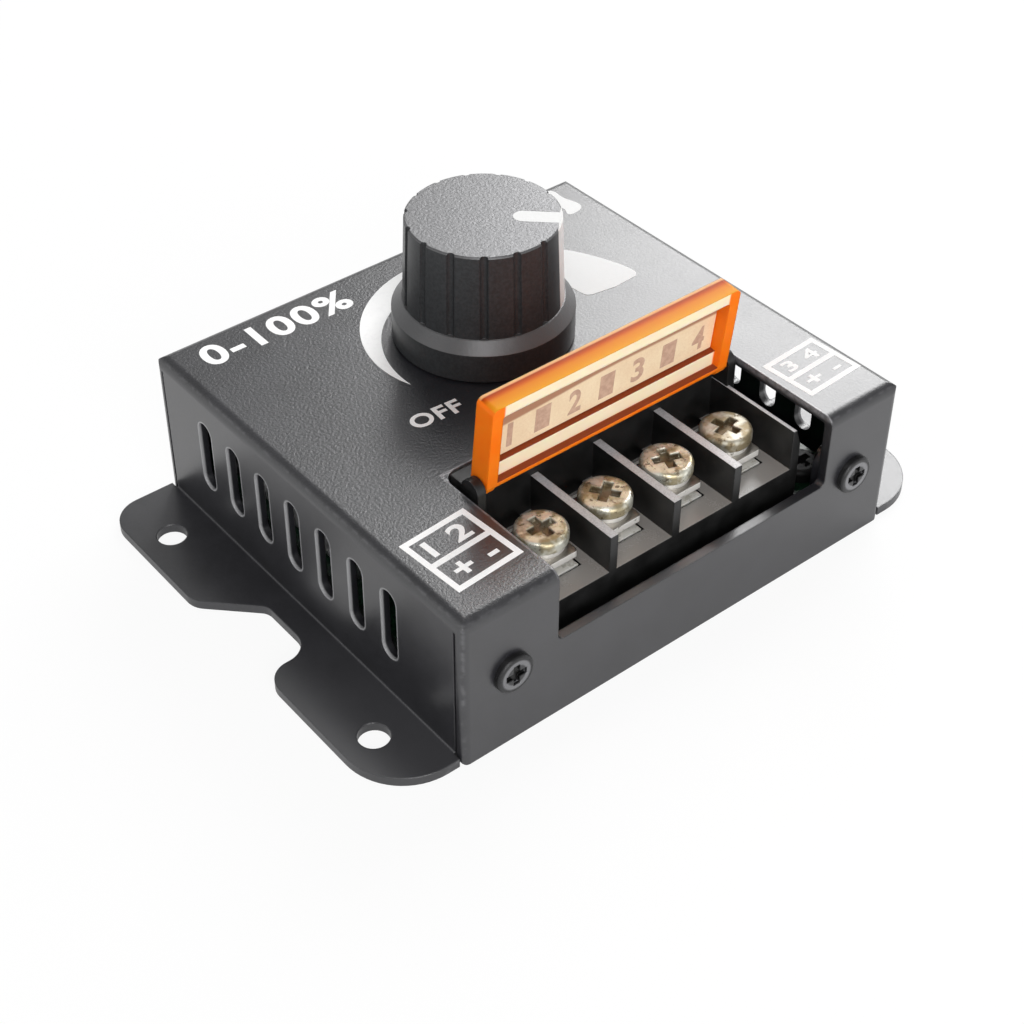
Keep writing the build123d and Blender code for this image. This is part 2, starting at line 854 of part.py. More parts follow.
# Power stage
def transistor_y(i):
    return spreader_mid_y + (i - (transistor_count - 1) / 2) * transistor_pitch


def tab_x():
    return spreader_x + spreader_thickness + tab_back_gap


def transistor_screw(i):
    return tab_x() + transistor_tab / 2, transistor_y(i)


def transistor_leads(i):
    x = tab_x() + transistor_tab + transistor_body + lead_reach
    return [(x, transistor_y(i) + k * lead_pitch) for k in (-1, 0, 1)]


def make_heat_spreader():
    low_y = spreader_back - spreader_length
    high_y = spreader_back
    foot = span(spreader_x, spreader_x + spreader_foot, low_y, high_y, board_top, spreader_z)
    wall_x = spreader_x + spreader_thickness
    wall = span(spreader_x, wall_x, low_y, high_y, board_top, top_inside - spreader_headroom)
    angle = foot + wall
    corner = [
        edge
        for edge in angle.edges().filter_by(Axis.Y)
        if edge.center().Z < board_top + bend_inside and edge.center().X < spreader_x + bend_inside
    ]
    angle = fillet(corner, spreader_corner)
    for i in range(transistor_count):
        x, y = transistor_screw(i)
        angle -= upright(x, y, board_top - cut, spreader_z + cut, small_thread + 2 * thread_clearance)
    return angle


def make_transistor_pad(i):
    x = tab_x()
    y = transistor_y(i)
    half = transistor_width / 2
    pad = span(x, x + transistor_tab + transistor_body, y - half, y + half, spreader_z, pad_z)
    screw_x, at_y = transistor_screw(i)
    hole = small_thread + 2 * hole_clearance
    return pad - upright(screw_x, at_y, spreader_z - cut, pad_z + cut, hole)


def make_power_transistor(i):
    x = tab_x()
    y = transistor_y(i)
    half = transistor_width / 2
    body_x = x + transistor_tab
    end_x = body_x + transistor_body
    tab = span(x, end_x, y - half, y + half, pad_z, pad_z + tab_thickness)
    body = span(body_x, end_x, y - half, y + half, pad_z, pad_z + transistor_height)
    body = chamfer(body.faces().sort_by(Axis.Z)[-1].edges(), lead_thickness)
    device = tab + body
    lead_z = pad_z + tab_thickness
    for lead_x, lead_y in transistor_leads(i):
        low_y = lead_y - lead_width / 2
        high_y = lead_y + lead_width / 2
        tip_x = lead_x + lead_thickness / 2
        device += span(end_x - cut, tip_x, low_y, high_y, lead_z, lead_z + lead_thickness)
        foot_z = board_under - lead_below_board
        device += span(tip_x - lead_thickness, tip_x, low_y, high_y, foot_z, lead_z + lead_thickness)
    screw_x, at_y = transistor_screw(i)
    hole = small_thread + 2 * hole_clearance
    return device - upright(screw_x, at_y, pad_z - cut, pad_z + tab_thickness + cut, hole)


def make_transistor_screws():
    seat = pad_z + tab_thickness
    fixing = screw(pan_head, pan_height, pan_round, small_thread, seat - board_top)
    return [Pos(*transistor_screw(i), seat) * fixing for i in range(transistor_count)]


# Other board parts
def make_input_capacitor(i):
    x = capacitor_x
    y = capacitor_y + i * capacitor_pitch
    high = top_inside - capacitor_headroom
    can = upright(x, y, board_top, high, capacitor_diameter)
    can = fillet(can.edges(), capacitor_groove)
    neck_z = board_top + capacitor_neck
    ring = upright(x, y, neck_z, neck_z + capacitor_groove, capacitor_diameter + cut)
    ring -= upright(x, y, neck_z - cut, neck_z + cut, capacitor_diameter - capacitor_groove)
    return can - ring


def make_control_chip():
    half_x = chip_length / 2
    half_y = chip_width / 2
    chip = span(-half_x, half_x, -half_y, half_y, board_top, board_top + chip_height)
    chip = chamfer(chip.faces().sort_by(Axis.Z)[-1].edges(), chip_edge)
    notch_z = board_top + chip_height - chip_edge
    notch = upright(-half_x, 0, notch_z, notch_z + cut, chip_notch)
    return at_knob(chip - notch)


def back_row_y():
    return board_half_y - back_row_inset


def make_voltage_regulator():
    x = knob_x + diode_length
    y = back_row_y()
    high = board_top + regulator_height
    body = upright(x, y, board_top, high, regulator_diameter)
    flat = y + regulator_diameter / 2 - regulator_across_flat
    reach = regulator_diameter
    return body - span(x - reach, x + reach, flat - reach, flat, board_top - cut, high + cut)


def make_flyback_diode():
    x = knob_x - diode_length / 2
    y = back_row_y()
    radius = diode_diameter / 2
    low = x - diode_length / 2
    high = x + diode_length / 2
    axis_z = board_top + radius
    body = side_rod(low, high, y, axis_z, diode_diameter)
    foot = span(low, high, y - radius / 2, y + radius / 2, board_top, axis_z)
    return body + foot


def make_resistors():
    rods = []
    radius = resistor_diameter / 2
    first = capacitor_x - resistor_offset
    for row in range(resistor_rows):
        y = resistor_front + row * resistor_pitch
        for column in range(resistor_columns):
            low = first + column * (resistor_length + resistor_diameter)
            rod = side_rod(low, low + resistor_length, y, board_top + radius, resistor_diameter)
            rods.append(fillet(rod.edges(), radius / 2))
    return rods


def numbered(name, count, make):
    return {f"{name}_{i + 1}": make(i) for i in range(count)}


nodes = {
    "housing": make_housing(),
    "base_plate": make_base_plate(),
    "case_screws": make_case_screws(),
    "insulating_sheet": make_insulating_sheet(),
    "standoffs": make_standoffs(),
    "circuit_board": make_circuit_board(),
    "board_screws": make_board_screws(),
    "terminal_block": make_terminal_block(),
    **numbered("terminal_contact", terminal_count, lambda i: make_terminal_contact(bay_xs[i])),
    "clamp_washers": make_clamp_washers(),
    "lock_washers": make_lock_washers(),
    "terminal_screws": make_terminal_screws(),
    "terminal_cover": make_terminal_cover(),
    "cover_label": make_cover_label(),
    "knob": make_knob(),
    "knob_pointer": make_knob_pointer(),
    "pot_shaft": make_pot_shaft(),
    "pot_wiper": make_pot_wiper(),
    "pot_bushing": make_pot_bushing(),
    "pot_washer": make_pot_washer(),
    "pot_nut": make_pot_nut(),
    "pot_wafer": make_pot_wafer(),
    "pot_can": make_pot_can(),
    "pot_terminals": make_pot_terminals(),
    "heat_spreader": make_heat_spreader(),
    **numbered("transistor_pad", transistor_count, make_transistor_pad),
    **numbered("power_transistor", transistor_count, make_power_transistor),
    "transistor_screws": make_transistor_screws(),
    **numbered("input_capacitor", capacitor_count, make_input_capacitor),
    "control_chip": make_control_chip(),
    "voltage_regulator": make_voltage_regulator(),
    "flyback_diode": make_flyback_diode(),
    "resistors": make_resistors(),
}

os.makedirs("parts", exist_ok=True)
for name, shape in nodes.items():
    whole = Compound(children=shape) if isinstance(shape, list) else shape
    export_step(whole, f"parts/{name}.step")
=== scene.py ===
import bmesh
import bpy
import json
import math
from mathutils import Matrix, Vector


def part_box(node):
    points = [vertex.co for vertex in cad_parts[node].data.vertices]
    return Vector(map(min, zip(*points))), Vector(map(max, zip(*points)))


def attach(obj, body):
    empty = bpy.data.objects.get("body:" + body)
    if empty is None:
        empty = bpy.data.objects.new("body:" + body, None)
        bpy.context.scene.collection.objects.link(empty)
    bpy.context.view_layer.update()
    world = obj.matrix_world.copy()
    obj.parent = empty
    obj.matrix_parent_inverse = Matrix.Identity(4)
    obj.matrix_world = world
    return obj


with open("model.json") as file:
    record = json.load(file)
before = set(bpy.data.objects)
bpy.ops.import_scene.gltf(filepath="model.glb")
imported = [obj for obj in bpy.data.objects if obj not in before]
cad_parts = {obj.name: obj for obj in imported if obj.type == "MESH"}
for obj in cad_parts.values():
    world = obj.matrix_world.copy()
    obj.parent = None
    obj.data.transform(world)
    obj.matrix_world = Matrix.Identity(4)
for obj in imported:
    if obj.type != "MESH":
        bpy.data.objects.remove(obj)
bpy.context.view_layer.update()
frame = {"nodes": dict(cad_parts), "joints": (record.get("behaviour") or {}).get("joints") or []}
nodes = frame["nodes"]
mm = 0.001
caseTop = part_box("housing")[1].z / mm  # the printed face of the case
print("frame loaded:", len(nodes), "CAD nodes")


class Wire:  # a socket in a node tree, with arithmetic that adds the nodes
    def __init__(self, tree, socket=None):
        self.tree = tree
        self.socket = socket

    def make(self, kind, settings=None, inputs=None, out=0):
        node = self.tree.nodes.new(kind)
        for name, value in (settings or {}).items():
            if name == "stops":
                ramp = node.color_ramp.elements
                while len(ramp) < len(value):
                    ramp.new(0.5)
                for stop, (place, colour) in zip(ramp, value):
                    stop.position = place
                    stop.color = (*colour, 1.0)
            else:
                setattr(node, name, value)
        for name, value in (inputs or {}).items():
            for each in value if isinstance(value, list) else [value]:
                if isinstance(each, Wire):
                    self.tree.links.new(each.socket, node.inputs[name])
                else:
                    node.inputs[name].default_value = each
        return Wire(self.tree, node.outputs[out])

    def math(self, operation, a, b=0.0):
        return self.make("ShaderNodeMath", {"operation": operation}, {0: a, 1: b})

    def __add__(self, other):
        return self.math("ADD", self, other)

    def __radd__(self, other):
        return self.math("ADD", other, self)

    def __sub__(self, other):
        return self.math("SUBTRACT", self, other)

    def __rsub__(self, other):
        return self.math("SUBTRACT", other, self)

    def __mul__(self, other):
        return self.math("MULTIPLY", self, other)

    def __rmul__(self, other):
        return self.math("MULTIPLY", other, self)

    def __truediv__(self, other):
        return self.math("DIVIDE", self, other)

    def __pow__(self, other):
        return self.math("POWER", self, other)

    def size(self):
        return self.math("ABSOLUTE", self)

    def least(self, other):
        return self.math("MINIMUM", self, other)

    def most(self, other):
        return self.math("MAXIMUM", self, other)

    def reach(self, other):  # straight distance, from two that are square to each other
        return (self * self + other * other) ** 0.5

    def rise(self, low, high):  # 0 below low, 1 above high, smooth between
        inputs = {"Value": self, "From Min": low, "From Max": high}
        return self.make("ShaderNodeMapRange", {"interpolation_type": "SMOOTHSTEP"}, inputs)

    def fall(self, low, high):
        return 1 - self.rise(low, high)

    def between(self, low, lowEnd, highStart, high):
        return self.rise(low, lowEnd) * self.fall(highStart, high)

    def fromRow(self, first, pitch):  # distance from the nearest in an even row
        along = (self - first) / pitch + 0.5
        return (self.math("FRACT", along) - 0.5) * pitch

    def part(self, axis):
        return self.make("ShaderNodeSeparateXYZ", None, {0: self}, axis)

    def blend(self, first, second):  # colours, by this value
        ends = [each if isinstance(each, Wire) else (*each, 1.0) for each in (first, second)]
        return self.make("ShaderNodeMix", {"data_type": "RGBA"}, {0: self, 6: ends[0], 7: ends[1]}, 2)

    def noise(self, grain, detail=2.0, rough=0.5):  # grain in mm
        inputs = {"Vector": self, "Scale": 1 / (grain * mm), "Detail": detail, "Roughness": rough}
        return self.make("ShaderNodeTexNoise", None, inputs)


class Finish:  # a material with one main shader, fed by wires
    def __init__(self, name, **fixed):
        self.material = bpy.data.materials.new(name)
        self.material.use_nodes = True
        self.tree = self.material.node_tree
        self.shader = self.tree.nodes["Principled BSDF"]
        for socket, value in fixed.items():
            self.set(socket.replace("_", " "), value)
        self.wire = Wire(self.tree)
        self.place = self.wire.make("ShaderNodeTexCoord", None, None, "Object")
        self.facing = self.wire.make("ShaderNodeTexCoord", None, None, "Normal")

    def set(self, socket, value):
        target = self.shader.inputs[socket]
        if isinstance(value, Wire):
            self.tree.links.new(value.socket, target)
        else:
            target.default_value = (*value, 1.0) if target.type == "RGBA" else value

    def spot(self):  # x, y and z in mm
        return [self.place.part(axis) / mm for axis in "XYZ"]

    def relief(self, height, depth, edge=0.0):  # bump in mm, with softened edges
        inputs = {"Height": height, "Distance": depth * mm, "Strength": 1.0}
        if edge:
            inputs["Normal"] = self.wire.make("ShaderNodeBevel", {"samples": 4}, {"Radius": edge * mm})
        self.set("Normal", self.wire.make("ShaderNodeBump", None, inputs))


def rgb(*levels):  # red, green and blue, 0-255 as seen on screen
    return tuple(((level / 255 + 0.055) / 1.055) ** 2.4 for level in levels)


def newObject(name, data):
    piece = bpy.data.objects.new(name, data)
    bpy.context.scene.collection.objects.link(piece)
    return piece


# Camera, where the photograph was taken from
photoView = {
    "azimuth": -36.57,
    "elevation": 38.6,
    "roll": -1.5,
    "distance": 241.48,  # mm
    "aside": (11.01, -9.2),  # mm, origin from the lens axis
    "focal": 1900.19,  # pixels
    "axis": (433.63, 429.85),  # pixels, where the lens axis meets the picture
    "pixels": 1024,
    "sensor": 36.0,
    "clip": (0.005, 20.0),  # m
}


def placeCamera(view):
    azimuth = math.radians(view["azimuth"])
    elevation = math.radians(view["elevation"])
    roll = math.radians(view["roll"])
    level = math.cos(elevation)
    back = Vector((math.sin(azimuth) * level, -math.cos(azimuth) * level, math.sin(elevation)))
    side = Vector((0, 0, 1)).cross(back).normalized()
    over = back.cross(side)
    right = math.cos(roll) * side + math.sin(roll) * over
    top = math.cos(roll) * over - math.sin(roll) * side
    asideX, asideY = view["aside"]
    data = bpy.data.cameras.new("photo_camera")
    data.sensor_fit = "HORIZONTAL"
    data.sensor_width = view["sensor"]
    data.lens = view["focal"] / view["pixels"] * view["sensor"]
    data.shift_x = 0.5 - view["axis"][0] / view["pixels"]
    data.shift_y = view["axis"][1] / view["pixels"] - 0.5
    data.clip_start, data.clip_end = view["clip"]
    camera = newObject("photo_camera", data)
    turn = Matrix((right, top, back)).transposed().to_4x4()
    spot = (view["distance"] * back - asideX * right - asideY * top) * mm
    camera.matrix_world = Matrix.Translation(spot) @ turn
    bpy.context.scene.camera = camera


placeCamera(photoView)
print("camera placed")


# Studio: pale floor, white surround, soft lamps
studio = {
    "floor": 3.0,  # m across
    "floorDrop": 0.05,  # mm under the case
    "floorPaper": (0.9, 0.9, 0.9),
    "floorRoughness": 0.9,
    "floorWhite": (0.9, 0.4),  # share of plain white on the floor, seen and mirrored
    "shaded": (31.5, 29.0),  # mm, half the floor that the case covers
    "skyLight": 0.27,
    "skyFade": (0.12, 0.55),  # sine of the height where mirrored sky darkens
    "skyHigh": 0.38,
    "aim": (0, 0, 14),  # mm
    "lamps": {  # degrees from +Y towards +X, degrees up, distance m, size m, brightness
        "back_right": (62, 35, 0.75, (0.5, 0.33), 8.6),
        "high_back": (38, 58, 0.9, (0.35, 0.35), 1.9),
        "over_front": (222, 53, 0.9, (0.35, 0.35), 4.0),
        "front": (198, 22, 0.9, (0.6, 0.6), 4.4),
        "left_fill": (285, 30, 0.9, (0.5, 0.5), 0.8),
    },
}


def rayKinds(tree):  # seen, mirrored, seen through something
    path = tree.nodes.new("ShaderNodeLightPath").outputs
    return [Wire(tree, path[kind]) for kind in ("Is Camera Ray", "Is Glossy Ray", "Is Transmission Ray")]


def lightSky(look):
    world = bpy.data.worlds.new("white_surround")
    world.use_nodes = True
    bpy.context.scene.world = world
    tree = world.node_tree
    seen, mirrored, through = rayKinds(tree)
    high = seen.make("ShaderNodeTexCoord", None, None, "Generated").part("Z").rise(*look["skyFade"])
    white = seen.most(mirrored).most(through)
    darker = (1 - look["skyHigh"]) * mirrored * (1 - through) * high
    level = look["skyLight"] + (1 - look["skyLight"]) * white - darker
    ground = tree.nodes["Background"]
    ground.inputs["Color"].default_value = (1, 1, 1, 1)
    tree.links.new(level.socket, ground.inputs["Strength"])


def hangLamps(look):
    for name, (heading, height, distance, size, bright) in look["lamps"].items():
        lamp = bpy.data.lights.new(name, "AREA")
        lamp.shape = "RECTANGLE"
        lamp.size, lamp.size_y = size
        lamp.energy = bright * math.pi * size[0] * size[1]
        heading = math.radians(heading)
        height = math.radians(height)
        level = math.cos(height)
        way = Vector((math.sin(heading) * level, math.cos(heading) * level, math.sin(height)))
        spot = Vector(look["aim"]) * mm + way * distance
        turn = way.to_track_quat("Z", "Y").to_matrix().to_4x4()
        newObject(name, lamp).matrix_world = Matrix.Translation(spot) @ turn


def layFloor(look):
    half = look["floor"] / 2
    drop = -look["floorDrop"] * mm
    corners = [(x * half, y * half, drop) for x, y in ((-1, -1), (1, -1), (1, 1), (-1, 1))]
    mesh = bpy.data.meshes.new("floor")
    mesh.from_pydata(corners, [], [(0, 1, 2, 3)])
    floor = newObject("floor", mesh)
    paper = Finish("floor_paper", Base_Color=look["floorPaper"], Roughness=look["floorRoughness"])
    white = paper.wire.make("ShaderNodeEmission", None, {"Color": (1, 1, 1, 1), "Strength": 1.0})
    seen, mirrored, through = rayKinds(paper.tree)
    shown, glossed = look["floorWhite"]
    share = (seen.most(through) * shown).most(mirrored * glossed)
    gaps = [spot.size() - reach for spot, reach in zip(paper.spot(), look["shaded"])]
    share = share * gaps[0].most(gaps[1]).rise(0.0, 1.0)
    lit = Wire(paper.tree, paper.shader.outputs[0])
    mixed = paper.wire.make("ShaderNodeMixShader", None, {0: share, 1: lit, 2: white})
    paper.tree.links.new(mixed.socket, paper.tree.nodes["Material Output"].inputs["Surface"])
    mesh.materials.append(paper.material)


bpy.context.scene.view_settings.view_transform = "Standard"
lightSky(studio)
hangLamps(studio)
layFloor(studio)
print("studio lit")


# Finishes
casePaint = {
    "deep": (0.010, 0.010, 0.0125),
    "pale": (0.020, 0.020, 0.024),
    # worn paint on the folds, and a painted highlight along the cut edge of the opening
    "wearAndHighlight": (0.20, 0.20, 0.21),
    # painted highlight on the rims of the vents
    "rim": (0.42, 0.42, 0.43),
    # painted light on the flanges
    "flangeLight": (0.040, 0.040, 0.044),
    "roughness": 0.33,
    "specular": 1.0,
    "grain": 0.36,  # mm
    "grainDepth": 0.044,  # mm
    "grainHeight": (17.0, 19.0),  # mm, z over which the grain comes in
    "grainFade": (-8.0, 18.0),  # mm, x over which it weakens
    "cloud": 6.0,  # mm
    "edge": 0.25,  # mm
    "folds": (33.0, 30.3, caseTop),  # mm, outer faces of the folded box
    "foldWear": 0.7,  # mm
    "wearPatch": 1.2,  # mm
    "cutout": (0.9, 20.7, -9.8),  # mm, middle, half width and back edge of the opening over the terminals
    "cutEdgeWearAndHighlight": (0.12, 0.3),  # mm from its edge, over which the worn metal and its painted highlight end
    "cutHeight": (20.2, 20.8),  # mm, z over which it comes in
    "cutPatch": 0.8,  # mm
    "vents": (1.3, 6.2, 11.8, 3.6, 1.4),  # mm, middle y, pitch, middle z, half straight, half width
    "ventRow": (21.5, 21.7),  # mm, half the row
    "ventRim": (0.05, 0.28),  # mm from a vent's edge, over which the painted highlight on its rim ends
    "ventWall": (32.5, 32.8),  # mm, x over which the rim comes in
    "paintedLight": (-27.0, 4.0),  # mm, y over which the painted light on the flanges thins out
    "flangeTop": (1.4, 1.8),  # mm, z over which it ends
}


def makeCasePaint(s):
    f = Finish("black_powder_coat", Specular_IOR_Level=s["specular"])
    x, y, z = f.spot()
    grain = f.place.noise(s["grain"], 2.0, 0.6)
    cloud = f.place.noise(s["cloud"], 3.0)
    flat = f.facing.part("Z").rise(0.2, 0.9)
    colour = (cloud * 0.6 + grain * 0.4).rise(0.3, 0.7).blend(s["deep"], s["pale"])
    # wear on the folds; along the cut edge of the opening, wear and a painted highlight
    gaps = [face - spot.size() for face, spot in zip(s["folds"], (x, y, z))]
    pairs = [gaps[0].most(gaps[2]), gaps[1].most(gaps[2]), gaps[0].most(gaps[1])]
    nearest = pairs[0].least(pairs[1]).least(pairs[2])
    folds = nearest.fall(0.0, s["foldWear"]) * f.place.noise(s["wearPatch"], 4.0).rise(0.42, 0.62)
    middle, half, back = s["cutout"]
    outside = ((x - middle).size() - half).most(y - back)
    cutEdgeWearAndHighlight = outside.size().fall(*s["cutEdgeWearAndHighlight"]) * z.rise(*s["cutHeight"])
    patches = f.place.noise(s["cutPatch"], 3.0).rise(0.3, 0.6)
    rub = (folds * 0.5).most(cutEdgeWearAndHighlight * (0.4 + 0.6 * patches))
    colour = rub.blend(colour, s["wearAndHighlight"])
    # painted light on the flanges, lighter towards the front
    flangeLight = flat * z.fall(*s["flangeTop"]) * y.fall(*s["paintedLight"])
    colour = flangeLight.blend(colour, s["flangeLight"])
    # painted highlight on the rims of the vents
    ventY, pitch, ventZ, straight, wide = s["vents"]
    above = ((z - ventZ).size() - straight).most(0.0)
    edge = (y.fromRow(ventY, pitch).reach(above) - wide).size()
    row = (y - ventY).size().fall(*s["ventRow"])
    rim = edge.fall(*s["ventRim"]) * x.size().rise(*s["ventWall"]) * row
    f.set("Base Color", (rim * 0.8).blend(colour, s["rim"]))
    f.set("Roughness", s["roughness"] + 0.12 * (grain - 0.5) + 0.06 * (cloud - 0.5) - 0.05 * rub)
    top = flat * z.rise(*s["grainHeight"]) * (1 - 0.65 * x.rise(*s["grainFade"]))
    f.relief(grain * (0.06 + 0.94 * top), s["grainDepth"], s["edge"])
    return f.material


blockPlastic = {
    "deep": (0.006, 0.006, 0.006),
    "pale": (0.014, 0.014, 0.014),
    # painted sheen on the barrier tops
    "topSheen": (0.52, 0.52, 0.53),
    # painted light on the floor of the bays
    "paintedLight": (0.30, 0.285, 0.27),
    "roughness": 0.36,
    "flow": 3.0,  # mm
    "grain": 0.18,  # mm
    "grainDepth": 0.006,  # mm
    "edge": 0.18,  # mm
    "barrierTop": (17.9, 18.05, 19.0, 19.2),  # mm, z over which the painted sheen comes in and ends
    "wireLip": (11.9, 11.95, 13.05, 13.1),  # mm, the same for the painted light on the floor of the bays
}


def makeBlockPlastic(s):
    f = Finish("black_moulded_block")
    flow = f.place.noise(s["flow"], 4.0)
    fine = f.place.noise(s["grain"], 2.0)
    height = f.place.part("Z") / mm
    upward = f.facing.part("Z")
    top = upward.rise(0.8, 0.95) * height.between(*s["barrierTop"])
    lip = upward.rise(0.5, 0.7) * height.between(*s["wireLip"])
    body = flow.rise(0.3, 0.7).blend(s["deep"], s["pale"])
    # painted sheen on the barrier tops
    body = (top * (0.8 + 0.2 * fine.rise(0.35, 0.6))).blend(body, s["topSheen"])
    # painted light on the floor of the bays
    f.set("Base Color", (lip * 0.9).blend(body, s["paintedLight"]))
    f.set("Roughness", s["roughness"] + 0.14 * (flow - 0.5) + 0.08 * (fine - 0.5) - 0.1 * lip)
    f.relief(fine, s["grainDepth"], s["edge"])
    return f.material


knobPlastic = {
    "deep": (0.023, 0.0245, 0.026),
    "pale": (0.034, 0.036, 0.0385),
    "sheen": (0.152, 0.152, 0.155),  # painted sheen on the top faces
    "sheenMetal": 0.65,
    "roughness": 0.36,
    "specular": 0.3,
    "grain": 0.38,  # mm
    "grainDepth": 0.036,  # mm
    "fine": 0.15,  # mm
    "edge": 0.2,  # mm
}


def makeKnobPlastic(s):
    f = Finish("black_knob_plastic", Specular_IOR_Level=s["specular"])
    grain = f.place.noise(s["grain"], 2.0, 0.6)
    fine = f.place.noise(s["fine"], 1.0)
    upward = f.facing.part("Z").rise(0.3, 0.9)
    colour = grain.rise(0.3, 0.7).blend(s["deep"], s["pale"])
    # painted sheen on the top faces
    f.set("Base Color", upward.blend(colour, s["sheen"]))
    f.set("Metallic", upward * s["sheenMetal"])
    f.set("Roughness", s["roughness"] + 0.1 * (grain - 0.5) + 0.06 * (fine - 0.5))
    f.relief(grain * (0.12 + 0.88 * upward), s["grainDepth"], s["edge"])
    return f.material


whiteInk = {
    "clean": (0.95, 0.95, 0.945),
    "thin": (0.90, 0.90, 0.90),
    # painted shade on the lamp side
    "lampSideDimmed": (0.72, 0.72, 0.715),
    "lampSide": (-12.0, 6.0),  # mm, x over which it is painted darker, painted shade on the lamp side
    "roughness": 0.5,
    "mottle": 0.5,  # mm
    "depth": 0.01,  # mm
}


def makeWhiteInk(name, s):
    f = Finish(name)
    mottle = f.place.noise(s["mottle"], 3.0)
    fresh = mottle.rise(0.45, 0.75).blend(s["clean"], s["thin"])
    # ink painted darker towards the lamp side, as painted shade
    f.set("Base Color", (f.place.part("X") / mm).rise(*s["lampSide"]).blend(fresh, s["lampSideDimmed"]))
    f.set("Roughness", s["roughness"] + 0.2 * (mottle - 0.5))
    f.relief(mottle, s["depth"])
    return f.material


# The cover stands at this lean, on the hinge that the frame gives
coverLean = math.radians(84.0)  # from lying shut
coverJoint = next(joint for joint in frame["joints"] if joint["name"] == "cover_flip")
coverHinge = [each / mm for each in coverJoint["pos_m"]]  # mm


def upCover(y, z):  # how far a place or a facing goes up the cover
    return z * math.sin(coverLean) - y * math.cos(coverLean)


def outOfCover(y, z):  # and how far it goes out of its face
    return 0.0 - (y * math.sin(coverLean) + z * math.cos(coverLean))


def fromHinge(f):  # mm, y and z
    return f.place.part("Y") / mm - coverHinge[1], f.place.part("Z") / mm - coverHinge[2]


amberPlastic = {
    "orange": (1.0, 0.18, 0.008),
    "glow": (1.0, 0.215, 0.011),
    # painted highlight on the front faces
    "cream": (1.0, 0.89, 0.64),
    # painted shade on the level faces of the foot
    "brown": (0.27, 0.055, 0.018),
    "paintedTopBands": [  # painted highlight and shade bands across the top edge, from the back
        (0.04, (0.85, 0.5, 0.25)),
        (0.1, (0.85, 0.45, 0.2)),
        (0.17, (0.36, 0.045, 0.006)),
        (0.3, (0.58, 0.09, 0.006)),
        (0.5, (0.76, 0.24, 0.012)),
        (1.0, (0.82, 0.36, 0.02)),
    ],
    "bandSpan": (-1.6, 1.25),  # mm out of the face
    "topEdge": (11.4, 11.8),  # mm up the cover, where the bands come in
    "foot": (3.0, 3.3),  # mm up, where the painted shade ends
    "window": (16.5, 16.8),  # mm from the middle, where the painted highlight ends
    "windowFoot": (0.7, 0.9),  # mm up, where it comes in
    "seeThrough": 0.07,
    "milky": 0.4,
    "inside": (0.7, 0.3, 0.08),  # mm that each colour runs inside
    "bending": 1.49,
    "specular": 0.04,
    "roughness": 0.16,
    "haze": 4.0,  # mm
    "waves": 1.6,  # mm
    "waveDepth": 0.006,  # mm
    "roundEdge": 0.3,  # mm
}


def makeAmberPlastic(s):
    f = Finish(
        "amber_clear_plastic",
        Transmission_Weight=s["seeThrough"],
        Subsurface_Weight=s["milky"],
        Subsurface_Scale=1.0,
        Subsurface_Radius=tuple(depth * mm for depth in s["inside"]),
        IOR=s["bending"],
        Specular_IOR_Level=s["specular"],
    )
    haze = f.place.noise(s["haze"], 3.0)
    y, z = fromHinge(f)
    up = upCover(y, z)
    faceY, faceZ = f.facing.part("Y"), f.facing.part("Z")
    level = upCover(faceY, faceZ).rise(0.6, 0.85)
    front = outOfCover(faceY, faceZ).rise(0.6, 0.85)
    aside = (f.place.part("X") / mm - coverHinge[0]).size()
    first, last = s["bandSpan"]
    across = (outOfCover(y, z) - first) / (last - first)
    bands = f.wire.make("ShaderNodeValToRGB", {"stops": s["paintedTopBands"]}, {0: across})
    colour = haze.rise(0.3, 0.7).blend(s["orange"], s["glow"])
    # painted highlight and shade bands on the top edge
    colour = (level * up.rise(*s["topEdge"])).blend(colour, bands)
    # painted shade on the level faces of the foot
    colour = (level * up.fall(*s["foot"])).blend(colour, s["brown"])
    # painted highlight on the front faces
    cream = front * aside.fall(*s["window"]) * up.rise(*s["windowFoot"])
    f.set("Base Color", (cream * (0.8 + 0.2 * haze)).blend(colour, s["cream"]))
    f.set("Roughness", s["roughness"] + 0.08 * haze)
    f.relief(f.place.noise(s["waves"], 2.0), s["waveDepth"], s["roundEdge"])
    return f.material


labelPaper = {
    "warm": rgb(243, 221, 186),
    "dull": rgb(232, 204, 168),
    "shade": rgb(172, 124, 94),  # strip in the shade of the rim
    "shadeFrom": (7.2, 8.0),  # mm up the cover where it starts, at the left end and past the middle
    "shadeAlong": (-16.0, 3.0),  # mm, x over which it narrows
    "shadeSoft": 0.4,  # mm
    "roughness": 0.55,
    "fibre": 0.25,  # mm
    "fibreDepth": 0.012,  # mm
    "stain": 5.0,  # mm
}


def makeLabelPaper(s):
    f = Finish("cream_label_paper")
    fibre = f.place.noise(s["fibre"], 4.0, 0.7)
    stain = f.place.noise(s["stain"], 2.0)
    paper = (0.5 * fibre + 0.5 * stain).rise(0.35, 0.65).blend(s["warm"], s["dull"])
    wide, narrow = s["shadeFrom"]
    start = wide + (narrow - wide) * (f.place.part("X") / mm).rise(*s["shadeAlong"])
    shade = (upCover(*fromHinge(f)) - start).rise(0.0, s["shadeSoft"])
    f.set("Base Color", shade.blend(paper, s["shade"]))
    f.set("Roughness", s["roughness"] + 0.2 * (fibre - 0.5))
    f.relief(fibre, s["fibreDepth"])
    return f.material


metalPlate = {  # what a plain plated piece has
    "spots": (0.5, 0.62),  # noise over which the tarnish comes in
    "patch": 1.1,  # mm
    "polish": 0.3,  # mm
    "depth": 0.01,  # mm
    "edge": 0.15,  # mm
    "matte": 0.0,  # metal lost off level faces, and level faces painted dull as painted shade
    "metallic": 1.0,
}


